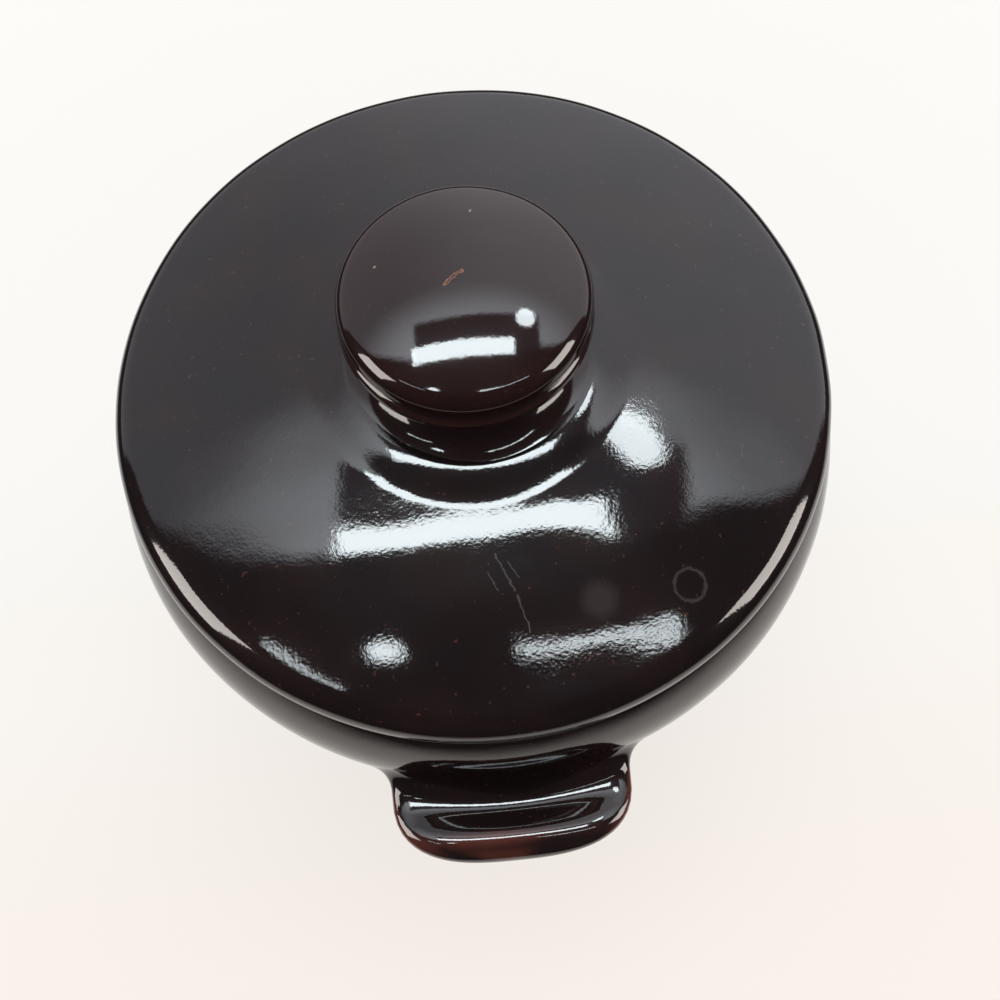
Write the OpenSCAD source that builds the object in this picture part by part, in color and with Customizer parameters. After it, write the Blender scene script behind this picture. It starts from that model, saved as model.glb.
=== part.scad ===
// Stoneware bean pot: a thrown pot with two lug handles and a lift-off domed lid with a knob.
// Origin at the middle of the foot, +Z up, lugs on the Y axis. All sizes in millimetres.

/* [Mouth and rim] */
// Height of the pot from the table to the flat top of its rim
pot_height = 116; // [104:1:140]
// Radius of the clear opening inside the rim
mouth_r = 71.5; // [60:0.5:80]
// Width of the flat ring on the rim that carries the lid
rim_width = 7.5; // [6:0.5:11]
// Radius that rounds the rim's outer edge
rim_round = 3; // [1.5:0.5:4]
// Radius that rounds the rim's inner edge
mouth_round = 3; // [1.5:0.5:4]

/* [Body] */
// How far the belly stands out past the rim's flat ring
belly_swell = 9.5; // [6:0.5:16]
// How far the belly's widest point lies below the top of the rim
belly_drop = 21; // [18:1:36]
// Thickness of the pot's side wall
pot_wall = 6.5; // [5:0.5:9]
// Height of the inside floor above the table
floor_height = 10; // [8:0.5:14]
// Radius of the inside corner between wall and floor
floor_fillet = 16; // [8:1:22]

/* [Foot] */
// Outer radius of the foot ring
foot_r = 60; // [52:1:66]
// Width of the foot ring's flat face and its outer chamfer
foot_width = 7; // [5:0.5:10]
// Depth of the recess inside the foot ring
foot_recess = 2.5; // [1.5:0.5:4]
// Height of the foot ring's upright outside
foot_height = 3; // [2:0.5:5]
// Size of the chamfers on the foot ring's edges
foot_chamfer = 1; // [0.5:0.1:1.5]
// How far the wall steps out above the foot ring
heel_step = 3; // [1.5:0.5:5]

/* [Lid] */
// How far the lid's edge reaches past the rim's flat ring
lid_overhang = 3.5; // [2:0.5:6]
// Radius of the roll that takes the dome over into the lid's edge
lid_roll = 7; // [5:0.5:9]
// Radius that rounds the lid's lower edge
lid_lip = 2; // [1:0.5:3]
// Radius of the sphere that the lid's dome is part of
dome_r = 320; // [240:10:480]
// Thickness of the dome
lid_wall = 6; // [5:0.5:8]
// How far the ring under the lid hangs into the mouth
flange_depth = 9; // [6:0.5:12]
// Thickness of the ring under the lid
flange_wall = 5.5; // [4:0.5:7]
// Radius that rounds the hanging ring's lower edges
flange_round = 1.6; // [0.8:0.1:1.9]
// Gap all round between the ring under the lid and the mouth
lid_play = 1.2; // [0.5:0.1:2]
// Radius of the inside corner between the hanging ring and the dome
flange_fillet = 4; // [2:0.5:6]

/* [Collar] */
// Radius of the raised collar round the knob, at the middle of its step
collar_r = 31.8; // [31:0.1:42]
// Height of the collar above the dome
collar_height = 1.1; // [0.8:0.1:2.5]
// Width over which the collar's step rises
collar_blend = 10; // [4:0.5:11]
// Width of the flat seat that shows round the knob's foot
seat_margin = 0.4; // [0.3:0.1:1]

/* [Knob] */
// Radius of the knob's cap at its widest, round its lower band
knob_r = 26.2; // [24:0.1:30]
// Radius of the knob's neck
waist_r = 19.7; // [14:0.1:20.5]
// Radius of the knob's spread foot
knob_foot_r = 27.2; // [24:0.1:28]
// Thickness of the spread foot at its edge
knob_foot_edge = 0.4; // [0.3:0.1:1]
// Height over which the neck sweeps out into its foot
foot_sweep = 5.5; // [4:0.5:8]
// Height of the neck, with its foot
neck_height = 10.2; // [8:0.1:14]
// Radius of the hollow between the neck and the cap
waist_fillet = 1.4; // [0.8:0.1:2]
// Height of the cap's widest point above the cap's underside
cap_under = 4; // [3:0.5:7]
// Radius of the band's rounded upper edge
band_round = 2; // [1.8:0.1:2.4]
// How far the crown's edge stays inside the band
crown_step = 0.5; // [0.4:0.1:1.2]
// Height of the crown's edge above the band's widest point
crown_lift = 4.5; // [3.8:0.1:5]
// Radius of the roll round the crown
crown_round = 4.4; // [4:0.1:6]
// Radius of the sphere that the top of the crown is part of
crown_r = 66; // [50:1:90]

/* [Lugs] */
// Width of a lug across its two sides
lug_width = 55; // [36:1:66]
// How far a lug reaches past the belly
lug_reach = 17.5; // [12:0.5:26]
// Thickness of a lug at its root
lug_thick = 12; // [9:0.5:16]
// How far a lug's middle lies below the top of the rim
lug_drop = 25; // [19:0.5:34]
// Radius of the flare where a lug joins the wall
lug_flare = 5; // [2:0.5:6]
// How far a lug's tip is turned up
lug_lift = 2; // [0:0.1:3]
// How deep a lug's root is worked into the wall
lug_root = 3; // [1.5:0.5:4]
// Depth of the thumb rest in a lug's top
thumb_rest = 4; // [0:0.1:4.4]
// Depth of the finger rest in a lug's underside
finger_rest = 0.8; // [0:0.1:1.5]
// How square a lug's outline is from above, where 2 is an ellipse
lug_square = 2.8; // [2.2:0.1:5]

/* [Hidden] */
$fn = 96;

glaze_brown = [0.17, 0.10, 0.09];
glaze_dark = [0.14, 0.09, 0.09];
glaze_red = [0.22, 0.11, 0.09];

// Numbers of straight steps along the curves
long_steps = 20;
curve_steps = 12;
round_steps = 6;

// Points along an arc round [x, z], from one angle to another
function arc(x, z, r, from, to, steps, first = 0) =
    [for (i = [first:steps]) let (a = from + (to - from) * i / steps) [x + r * cos(a), z + r * sin(a)]];

// The same without its first point, to carry an outline on from the curve before it
function arc_on(x, z, r, from, to, steps) = arc(x, z, r, from, to, steps, 1);

// Smooth rise from 0 to 1
function ease(t) = let (c = min(1, max(0, t))) c * c * (3 - 2 * c);

// ---- Pot outline, all in tangent arcs ----
seat_r = mouth_r + rim_width;
belly_r = seat_r + belly_swell;
belly_height = pot_height - belly_drop;
heel_r = foot_r + heel_step;
heel_z = foot_height + heel_step;

// Side wall: vertical at the belly, down to the heel
heel_in = belly_r - heel_r;
heel_drop = belly_height - heel_z;
wall_arc = (pow(heel_in, 2) + pow(heel_drop, 2)) / (2 * heel_in);
wall_x = belly_r - wall_arc;
heel_angle = asin(heel_drop / wall_arc);

// Shoulder: vertical at the belly, up into the rounded edge of the rim
rim_up = belly_drop - rim_round;
shoulder_arc = (pow(belly_swell, 2) + pow(rim_up, 2) - pow(rim_round, 2)) / (2 * (belly_swell - rim_round));
shoulder_x = belly_r - shoulder_arc;
shoulder_angle = atan2(rim_up, seat_r - shoulder_x);

// Inside of the shoulder: from the belly up into the rounded lip of the mouth
lip_x = mouth_r + mouth_round;
lip_z = pot_height - mouth_round;
inner_belly_r = belly_r - pot_wall;
lip_in = inner_belly_r - lip_x;
lip_up = lip_z - belly_height;
inner_arc = (pow(lip_in, 2) + pow(lip_up, 2) - pow(mouth_round, 2)) / (2 * (lip_in + mouth_round));
inner_x = inner_belly_r - inner_arc;
inner_angle = atan2(lip_up, lip_x - inner_x);

// Inside corner at the floor, tangent to the wall's inner arc and to the floor
inner_wall_arc = wall_arc - pot_wall;
corner_z = floor_height + floor_fillet;
corner_x = wall_x + sqrt(pow(inner_wall_arc - floor_fillet, 2) - pow(belly_height - corner_z, 2));
corner_angle = asin((belly_height - corner_z) / (inner_wall_arc - floor_fillet));

pot_outline = concat(
    // Recess and foot ring
    [[0, foot_recess], [foot_r - foot_width - foot_chamfer, foot_recess], [foot_r - foot_width, 0]],
    [[foot_r - foot_chamfer, 0], [foot_r, foot_chamfer], [foot_r, foot_height]],
    // Outside, up to the rim
    arc(wall_x, belly_height, wall_arc, -heel_angle, 0, long_steps),
    arc_on(shoulder_x, belly_height, shoulder_arc, 0, shoulder_angle, curve_steps),
    arc_on(seat_r, pot_height - rim_round, rim_round, shoulder_angle, 90, round_steps),
    // Inside, down to the floor
    arc(lip_x, lip_z, mouth_round, 90, 180 + inner_angle, curve_steps),
    arc_on(inner_x, belly_height, inner_arc, inner_angle, 0, curve_steps),
    arc_on(wall_x, belly_height, inner_wall_arc, 0, -corner_angle, curve_steps),
    arc_on(corner_x, corner_z, floor_fillet, -corner_angle, -90, curve_steps),
    [[0, floor_height]]
);

module pot_body() {
    color(glaze_brown) rotate_extrude() polygon(pot_outline);
}

// ---- Lid outline ----
lid_r = seat_r + lid_overhang;
edge_x = lid_r - lid_roll;
edge_z = pot_height + lid_lip;
dome_z = edge_z - sqrt(pow(dome_r - lid_roll, 2) - pow(edge_x, 2));
dome_angle = asin(edge_x / (dome_r - lid_roll));

// Height of the lid's top at a radius: the dome and the eased step of the collar
function lid_top(r) = dome_z + sqrt(pow(dome_r, 2) - pow(r, 2))
    + collar_height * ease((collar_out - r) / collar_blend);

// Height of the lid's underside at a radius, inside its hanging ring
function lid_under(r) = dome_z + sqrt(pow(under_r, 2) - pow(r, 2));

// The collar's outer end, and the flat seat inside it for the knob's foot
collar_out = collar_r + collar_blend / 2;
pad_r = knob_foot_r + seat_margin;
pad_z = lid_top(pad_r);

flange_out = mouth_r - lid_play;
flange_in = flange_out - flange_wall;
flange_z = pot_height - flange_depth + flange_round;
under_r = dome_r - lid_wall;
fillet_x = flange_in - flange_fillet;
fillet_z = dome_z + sqrt(pow(under_r - flange_fillet, 2) - pow(fillet_x, 2));
fillet_angle = asin(fillet_x / (under_r - flange_fillet));

// Radii in equal steps from one radius to another, without the first
function radii(from, to) = [for (i = [1:curve_steps]) from + (to - from) * i / curve_steps];

lid_outline = concat(
    // Seat, collar, dome, roll and lower edge
    [[0, pad_z], [pad_r, pad_z]],
    [for (r = radii(pad_r, collar_out)) [r, lid_top(r)]],
    [for (r = radii(collar_out, edge_x)) [r, lid_top(r)]],
    arc(edge_x, edge_z, lid_roll, 90 - dome_angle, 0, curve_steps),
    arc_on(lid_r - lid_lip, edge_z, lid_lip, 0, -90, round_steps),
    // Hanging ring
    [[flange_out, pot_height]],
    arc(flange_out - flange_round, flange_z, flange_round, 0, -90, round_steps),
    arc(flange_in + flange_round, flange_z, flange_round, -90, -180, round_steps),
    // Underside of the dome
    arc(fillet_x, fillet_z, flange_fillet, 0, 90 - fillet_angle, round_steps),
    [for (r = radii(fillet_x, 0)) [r, lid_under(r)]]
);

module lid() {
    color(glaze_dark) rotate_extrude() polygon(lid_outline);
}

// ---- Knob outline ----
sweep_z = pad_z + foot_sweep;
waist_z = pad_z + neck_height;
cap_in = waist_r + waist_fillet;
cap_z = waist_z + waist_fillet + cap_under;

// The crown: part of a sphere with a rolled edge
crown_x = knob_r - crown_step - crown_round;
crown_z = cap_z + crown_lift;
crown_angle = asin(crown_x / (crown_r - crown_round));
crown_middle = crown_z - (crown_r - crown_round) * cos(crown_angle);

// Angle of a triangle between its sides a and b, opposite its side c
function corner(a, b, c) = acos((pow(a, 2) + pow(b, 2) - pow(c, 2)) / (2 * a * b));

// Where the crown's roll meets the rounded upper edge of the band below it
band_x = knob_r - band_round;
gap = norm([band_x - crown_x, crown_lift]);
gap_angle = atan2(crown_lift, band_x - crown_x);
crown_end = corner(gap, crown_round, band_round) - gap_angle;
band_end = 180 - gap_angle - corner(gap, band_round, crown_round);

// Quarter turn in equal steps, without its start
quarter = [for (i = [1:curve_steps]) 90 * i / curve_steps];

knob_outline = concat(
    [[0, pad_z], [knob_foot_r, pad_z], [knob_foot_r, pad_z + knob_foot_edge]],
    // Neck: sweeps in from the foot and stands upright
    [for (a = quarter) [knob_foot_r - (knob_foot_r - waist_r) * sin(a),
                        sweep_z - (foot_sweep - knob_foot_edge) * cos(a)]],
    // Small hollow where the neck meets the cap's underside
    arc(cap_in, waist_z, waist_fillet, 180, 90, round_steps),
    // Underside of the cap, rolling out to its widest point, and the band's upper edge
    [for (a = quarter) [cap_in + (knob_r - cap_in) * sin(a), cap_z - cap_under * cos(a)]],
    arc_on(band_x, cap_z, band_round, 0, band_end, round_steps),
    // The crown's roll and top
    arc_on(crown_x, crown_z, crown_round, crown_end, 90 - crown_angle, curve_steps),
    arc_on(0, crown_middle, crown_r, 90 - crown_angle, 90, curve_steps)
);

module lid_knob() {
    color(glaze_red) rotate_extrude() polygon(knob_outline);
}

// ---- Lugs ----
// A lug is a stack of closed rings, from inside the wall, over the flare and out to the tip.
// Points are [across, outward, up], and the front lug's outward direction is -Y.
lug_z = pot_height - lug_drop;
lug_tip = belly_r + lug_reach;
ring_sides = 56;
flare_steps = 5;
reach_steps = 13;

// Powers that shape the lug: how late its thickness tapers, how square its section is, and
// how close to its sides the rests reach
taper_power = 5;
section_power = 3;
rest_power = 6;
// The rests are deepest at this share of the lug's reach and run out this far from there
rest_middle = 0.17;
rest_spread = 0.58;
// Share of the rests' depth that is left halfway to the lug's sides, before they run out
rest_level = 0.5;
// How deep the flare's thin edge lies in the wall
flare_sink = lug_flare / 8;

// Radius of the pot's outside at a height between the heel and the rim
function outer_r(z) = z < belly_height
    ? wall_x + sqrt(pow(wall_arc, 2) - pow(belly_height - z, 2))
    : shoulder_x + sqrt(pow(shoulder_arc, 2) - pow(z - belly_height, 2));

// How far out the wall lies at a place across and a height
function wall_out(x, z) = sqrt(pow(outer_r(z), 2) - pow(x, 2));

// How far along a lug an outward place is, from 0 at the belly to 1 at the tip
function lug_t(out) = min(1, max(0, (out - belly_r) / lug_reach));
function half_width(out) = lug_width / 2 * pow(1 - pow(lug_t(out), lug_square), 1 / lug_square);
function half_thick(out) = lug_thick / 2 * sqrt(1 - pow(lug_t(out), taper_power));

// Cross-section of unit size: a circle squared up at its corners
function section(a) = [cos(a), sin(a)]
    / pow(pow(abs(cos(a)), section_power) + pow(abs(sin(a)), section_power), 1 / section_power);

// Hollows pressed into the top and the underside for thumb and fingers
function rest_along(out) =
    let (t = min(1, abs(lug_t(out) - rest_middle) / rest_spread)) pow(cos(90 * t), 2);
function rest_across(s) = (1 - pow(abs(s), rest_power))
    * (rest_level + (1 - rest_level) * pow(cos(90 * s), 2));
function rest(out, a) = rest_along(out) * rest_across(section(a)[0])
    * (sin(a) > 0 ? thumb_rest : -finger_rest);

function lug_point(a, out) = [
    half_width(out) * section(a)[0],
    out,
    lug_z + lug_lift * lug_t(out) + half_thick(out) * section(a)[1] - rest(out, a)
];

// Power that keeps a number's sign
function signed_pow(value, power) = sign(value) * pow(abs(value), power);

// The way along the wall, square to the lug's side at an angle
function away(a) = let (n = [lug_thick * signed_pow(section(a)[0], section_power - 1),
                             lug_width * signed_pow(section(a)[1], section_power - 1)]) n / norm(n);

// Point of the wall where the lug's side meets it, moved along the wall and into it
function wall_point(a, along, deep) =
    let (x = lug_width / 2 * section(a)[0] + along * away(a)[0],
         z = lug_z + lug_thick / 2 * section(a)[1] + along * away(a)[1])
    [x, wall_out(x, z) - deep, z];

// The flare: a curve from the wall, drawn towards the corner, onto the lug's side
function flare_point(a, t) =
    let (foot = wall_point(a, lug_flare, flare_sink),
         corner = wall_point(a, 0, 0),
         lip = lug_point(a, corner[1] + lug_flare))
    foot * pow(1 - t, 2) + corner * 2 * t * (1 - t) + lip * pow(t, 2);

function side_point(a, t) =
    let (start = wall_point(a, 0, 0)[1] + lug_flare)
    lug_point(a, start + (lug_tip - start) * sin(90 * t));

function ring(k) = [for (i = [0:ring_sides - 1]) let (a = 360 * i / ring_sides)
    k == 0 ? wall_point(a, lug_flare, lug_root)
    : k <= flare_steps + 1 ? flare_point(a, (k - 1) / flare_steps)
    : side_point(a, (k - 1 - flare_steps) / reach_steps)];

ring_count = flare_steps + reach_steps + 1;
lug_points = concat(
    [for (k = [0:ring_count - 1]) each ring(k)],
    [[0, wall_out(0, lug_z) - lug_root, lug_z], [0, lug_tip, lug_z + lug_lift]]
);
root_middle = ring_count * ring_sides;
tip_middle = root_middle + 1;
last_ring = (ring_count - 1) * ring_sides;
lug_faces = concat(
    [for (k = [0:ring_count - 2], i = [0:ring_sides - 1])
        let (a = k * ring_sides + i, b = k * ring_sides + (i + 1) % ring_sides)
        each [[a, b, b + ring_sides], [a, b + ring_sides, a + ring_sides]]],
    [for (i = [0:ring_sides - 1]) [(i + 1) % ring_sides, i, root_middle]],
    [for (i = [0:ring_sides - 1]) [last_ring + i, last_ring + (i + 1) % ring_sides, tip_middle]]
);

module lug() {
    polyhedron(points = [for (p = lug_points) [p[0], -p[1], p[2]]], faces = lug_faces);
}

module front_lug() {
    color(glaze_brown) lug();
}

module rear_lug() {
    color(glaze_brown) rotate([0, 0, 180]) lug();
}

pot_body();
front_lug();
rear_lug();
lid();
lid_knob();
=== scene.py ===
"""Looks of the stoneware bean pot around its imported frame. Metres, +Z up, lugs on the Y axis."""
import math

import bpy
import numpy as np
from mathutils import Matrix, Vector


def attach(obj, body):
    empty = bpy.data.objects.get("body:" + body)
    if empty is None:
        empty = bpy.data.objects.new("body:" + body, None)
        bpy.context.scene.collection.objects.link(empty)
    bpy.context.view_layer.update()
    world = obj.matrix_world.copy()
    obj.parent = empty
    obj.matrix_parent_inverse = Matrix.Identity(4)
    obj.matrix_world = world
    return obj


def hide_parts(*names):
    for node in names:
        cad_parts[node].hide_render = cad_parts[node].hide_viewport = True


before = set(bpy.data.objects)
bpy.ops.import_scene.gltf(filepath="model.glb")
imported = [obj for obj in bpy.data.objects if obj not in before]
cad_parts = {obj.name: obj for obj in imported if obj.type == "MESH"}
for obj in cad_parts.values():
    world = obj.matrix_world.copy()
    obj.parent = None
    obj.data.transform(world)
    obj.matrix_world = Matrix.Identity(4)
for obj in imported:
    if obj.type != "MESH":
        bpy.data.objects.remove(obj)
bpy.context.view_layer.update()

MM = 0.001

# ---- Sizes, the same as in the CAD source, in millimetres ----
POT_HEIGHT = 116
MOUTH_R = 71.5
RIM_WIDTH = 7.5
RIM_ROUND = 3
MOUTH_ROUND = 3
BELLY_SWELL = 9.5
BELLY_DROP = 21
POT_WALL = 6.5
FLOOR_HEIGHT = 10
FLOOR_FILLET = 16
FOOT_R = 60
FOOT_WIDTH = 7
FOOT_RECESS = 2.5
FOOT_HEIGHT = 3
FOOT_ROUND = 1
HEEL_STEP = 3

LID_OVERHANG = 3.5
LID_ROLL = 7
LID_LIP = 2
DOME_R = 320
LID_WALL = 6
FLANGE_DEPTH = 9
FLANGE_WALL = 5.5
FLANGE_ROUND = 1.6
LID_PLAY = 1.2
FLANGE_FILLET = 4
COLLAR_R = 31.8
COLLAR_HEIGHT = 1.1
COLLAR_BLEND = 10
SEAT_MARGIN = 0.4

KNOB_R = 26.2
WAIST_R = 19.7
KNOB_FOOT_R = 27.2
FOOT_SWEEP = 5.5
NECK_HEIGHT = 10.2
WAIST_FILLET = 1.4
CAP_UNDER = 4
BAND_ROUND = 2
CROWN_STEP = 0.5
CROWN_LIFT = 4.5
CROWN_ROUND = 4.4
CROWN_R = 66

LUG_WIDTH = 55
LUG_REACH = 17.5
LUG_THICK = 12
LUG_DROP = 25
LUG_FLARE = 5
LUG_LIFT = 2
THUMB_REST = 4
FINGER_REST = 0.8
LUG_SQUARE = 2.8
TAPER_POWER = 5
SECTION_POWER = 3
REST_POWER = 6
REST_MIDDLE = 0.17
REST_SPREAD = 0.58
REST_LEVEL = 0.5

# ---- Outlines, as lists of (radius, height) ----
CORNER_STEPS = 6
SAME_POINT = 0.02

def arc(x, z, r, start, end, steps):
    """Points along an arc round (x, z), with its two ends, angles in degrees."""
    angles = [math.radians(start + (end - start) * i / steps) for i in range(steps + 1)]
    return [(x + r * math.cos(a), z + r * math.sin(a)) for a in angles]


def line(start, end, step):
    """Points from start to end about a step apart, with both ends."""
    count = max(1, round(math.dist(start, end) / step))
    return [tuple(np.add(start, np.subtract(end, start) * i / count)) for i in range(count + 1)]


def rounded(corners, step=2.0):
    """A path of straight stretches whose corners, given as (x, z, radius), are rounded."""
    path = [corners[0][:2]]
    for before, here, after in zip(corners, corners[1:], corners[2:]):
        to_before = np.subtract(before[:2], here[:2])
        to_after = np.subtract(after[:2], here[:2])
        to_before = to_before / np.linalg.norm(to_before)
        to_after = to_after / np.linalg.norm(to_after)
        half = math.acos(np.clip(to_before @ to_after, -1, 1)) / 2
        cut = here[2] / math.tan(half)
        start = np.array(here[:2]) + to_before * cut
        end = np.array(here[:2]) + to_after * cut
        path += line(path[-1], tuple(start), step)[1:]
        for i in range(1, CORNER_STEPS + 1):
            t = i / CORNER_STEPS
            path.append(tuple(start * (1 - t) ** 2 + np.array(here[:2]) * 2 * t * (1 - t) + end * t * t))
    return path + line(path[-1], corners[-1][:2], step)[1:]


def joined(*paths):
    """Paths end to end, without the points that repeat."""
    whole = []
    for path in paths:
        for point in path:
            if not whole or math.dist(whole[-1], point) > SAME_POINT:
                whole.append(point)
    return whole


def ease(t):
    """Smooth step from 0 to 1."""
    t = np.clip(t, 0, 1)
    return t * t * (3 - 2 * t)


# Pot: the values worked out from the sizes
SEAT_R = MOUTH_R + RIM_WIDTH
BELLY_R = SEAT_R + BELLY_SWELL
BELLY_Z = POT_HEIGHT - BELLY_DROP
HEEL_R = FOOT_R + HEEL_STEP
HEEL_Z = FOOT_HEIGHT + HEEL_STEP
HEEL_IN = BELLY_R - HEEL_R
HEEL_DROP = BELLY_Z - HEEL_Z
WALL_ARC = (HEEL_IN**2 + HEEL_DROP**2) / (2 * HEEL_IN)
WALL_X = BELLY_R - WALL_ARC
HEEL_ANGLE = math.degrees(math.asin(HEEL_DROP / WALL_ARC))
RIM_UP = BELLY_DROP - RIM_ROUND
SHOULDER_ARC = (BELLY_SWELL**2 + RIM_UP**2 - RIM_ROUND**2) / (2 * (BELLY_SWELL - RIM_ROUND))
SHOULDER_X = BELLY_R - SHOULDER_ARC
SHOULDER_ANGLE = math.degrees(math.atan2(RIM_UP, SEAT_R - SHOULDER_X))
LIP_X = MOUTH_R + MOUTH_ROUND
LIP_Z = POT_HEIGHT - MOUTH_ROUND
LIP_IN = BELLY_R - POT_WALL - LIP_X
LIP_UP = LIP_Z - BELLY_Z
INNER_ARC = (LIP_IN**2 + LIP_UP**2 - MOUTH_ROUND**2) / (2 * (LIP_IN + MOUTH_ROUND))
INNER_X = BELLY_R - POT_WALL - INNER_ARC
INNER_ANGLE = math.degrees(math.atan2(LIP_UP, LIP_X - INNER_X))
INNER_WALL_ARC = WALL_ARC - POT_WALL
CORNER_Z = FLOOR_HEIGHT + FLOOR_FILLET
CORNER_X = WALL_X + math.sqrt((INNER_WALL_ARC - FLOOR_FILLET) ** 2 - (BELLY_Z - CORNER_Z) ** 2)
CORNER_ANGLE = math.degrees(math.asin((BELLY_Z - CORNER_Z) / (INNER_WALL_ARC - FLOOR_FILLET)))

RECESS_ROUND = 1.2
FOOT_EDGE_ROUND = 0.4
HEEL_ROUND = 0.8

FOOT = rounded(
    [
        (0, FOOT_RECESS, 0),
        (FOOT_R - FOOT_WIDTH - FOOT_ROUND, FOOT_RECESS, RECESS_ROUND),
        (FOOT_R - FOOT_WIDTH, 0, FOOT_EDGE_ROUND),
        (FOOT_R, 0, FOOT_ROUND),
        (FOOT_R, FOOT_HEIGHT, HEEL_ROUND),
        (HEEL_R, HEEL_Z, 0),
    ]
)
POT_OUTSIDE = joined(
    arc(WALL_X, BELLY_Z, WALL_ARC, -HEEL_ANGLE, 0, 48),
    arc(SHOULDER_X, BELLY_Z, SHOULDER_ARC, 0, SHOULDER_ANGLE, 16),
)
POT_INSIDE = joined(
    arc(SEAT_R, POT_HEIGHT - RIM_ROUND, RIM_ROUND, SHOULDER_ANGLE, 90, 8),
    arc(LIP_X, LIP_Z, MOUTH_ROUND, 90, 180 + INNER_ANGLE, 14),
    arc(INNER_X, BELLY_Z, INNER_ARC, INNER_ANGLE, 0, 10),
    arc(WALL_X, BELLY_Z, INNER_WALL_ARC, 0, -CORNER_ANGLE, 20),
    arc(CORNER_X, CORNER_Z, FLOOR_FILLET, -CORNER_ANGLE, -90, 10),
    line((CORNER_X, FLOOR_HEIGHT), (0, FLOOR_HEIGHT), 3),
)
POT_OUTLINE = joined(FOOT, POT_OUTSIDE, POT_INSIDE)

# Lid: the values worked out from the sizes
LID_R = SEAT_R + LID_OVERHANG
EDGE_X = LID_R - LID_ROLL
EDGE_Z = POT_HEIGHT + LID_LIP
DOME_Z = EDGE_Z - math.sqrt((DOME_R - LID_ROLL) ** 2 - EDGE_X**2)
DOME_ANGLE = math.degrees(math.asin(EDGE_X / (DOME_R - LID_ROLL)))
DOME_END = DOME_R * EDGE_X / (DOME_R - LID_ROLL)
COLLAR_OUT = COLLAR_R + COLLAR_BLEND / 2


def lid_top(r):
    """Height of the lid's top at a radius: the dome and the eased step of the collar."""
    return DOME_Z + math.sqrt(DOME_R**2 - r**2) + COLLAR_HEIGHT * ease((COLLAR_OUT - r) / COLLAR_BLEND)


PAD_R = KNOB_FOOT_R + SEAT_MARGIN
PAD_Z = lid_top(PAD_R)
FLANGE_OUT = MOUTH_R - LID_PLAY
FLANGE_IN = FLANGE_OUT - FLANGE_WALL
FLANGE_Z = POT_HEIGHT - FLANGE_DEPTH
UNDER_R = DOME_R - LID_WALL
FILLET_X = FLANGE_IN - FLANGE_FILLET
FILLET_Z = DOME_Z + math.sqrt((UNDER_R - FLANGE_FILLET) ** 2 - FILLET_X**2)
FILLET_ANGLE = math.degrees(math.asin(FILLET_X / (UNDER_R - FLANGE_FILLET)))
SEAT_ROUND = 0.6

LID_OUTLINE = joined(
    line((0, PAD_Z), (PAD_R, PAD_Z), 3),
    [(r, lid_top(r)) for r in np.linspace(PAD_R, COLLAR_OUT, 26)],
    [(r, lid_top(r)) for r in np.linspace(COLLAR_OUT, DOME_END, 34)],
    arc(EDGE_X, EDGE_Z, LID_ROLL, 90 - DOME_ANGLE, 0, 20),
    arc(LID_R - LID_LIP, EDGE_Z, LID_LIP, 0, -90, 9),
    rounded(
        [
            (LID_R - LID_LIP, POT_HEIGHT, 0),
            (FLANGE_OUT, POT_HEIGHT, SEAT_ROUND),
            (FLANGE_OUT, FLANGE_Z, FLANGE_ROUND),
            (FLANGE_IN, FLANGE_Z, FLANGE_ROUND),
            (FLANGE_IN, FILLET_Z, 0),
        ]
    ),
    arc(FILLET_X, FILLET_Z, FLANGE_FILLET, 0, 90 - FILLET_ANGLE, 8),
    [(r, DOME_Z + math.sqrt(UNDER_R**2 - r**2)) for r in np.linspace(FILLET_X, 0, 22)],
)

# Knob: foot, neck, band and crown
SWEEP_Z = PAD_Z + FOOT_SWEEP
WAIST_Z = PAD_Z + NECK_HEIGHT
CAP_IN = WAIST_R + WAIST_FILLET
CAP_Z = WAIST_Z + WAIST_FILLET + CAP_UNDER
CROWN_X = KNOB_R - CROWN_STEP - CROWN_ROUND
CROWN_Z = CAP_Z + CROWN_LIFT
CROWN_ANGLE = math.degrees(math.asin(CROWN_X / (CROWN_R - CROWN_ROUND)))
CROWN_MIDDLE = CROWN_Z - (CROWN_R - CROWN_ROUND) * math.cos(math.radians(CROWN_ANGLE))
BAND_X = KNOB_R - BAND_ROUND
GAP = math.hypot(BAND_X - CROWN_X, CROWN_LIFT)
GAP_ANGLE = math.degrees(math.atan2(CROWN_LIFT, BAND_X - CROWN_X))


def corner(a, b, c):
    """Angle of a triangle between its sides a and b, opposite its side c."""
    return math.degrees(math.acos((a * a + b * b - c * c) / (2 * a * b)))


CROWN_END = corner(GAP, CROWN_ROUND, BAND_ROUND) - GAP_ANGLE
BAND_END = 180 - GAP_ANGLE - corner(GAP, BAND_ROUND, CROWN_ROUND)
QUARTER = np.radians(np.linspace(0, 90, 19))
# The knob's underside lies a little inside the lid, and its skirt meets the lid's top
KNOB_SINK = 1
KNOB_SINK_IN = 2
SKIRT_OUT = 0.2
SKIRT_SINK = 0.02
SKIRT_R = PAD_R + SKIRT_OUT
SLOPE_STEP = 0.1
SKIRT_RISE = (PAD_Z - lid_top(PAD_R + SLOPE_STEP)) / SLOPE_STEP


def neck(a):
    """Point of the neck's sweep, which leans like the lid's dome at its foot."""
    r = SKIRT_R - (SKIRT_R - WAIST_R) * math.sin(a)
    return r, PAD_Z + FOOT_SWEEP * (1 - math.cos(a)) + (SKIRT_R - r) * SKIRT_RISE * math.cos(a)


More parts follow.
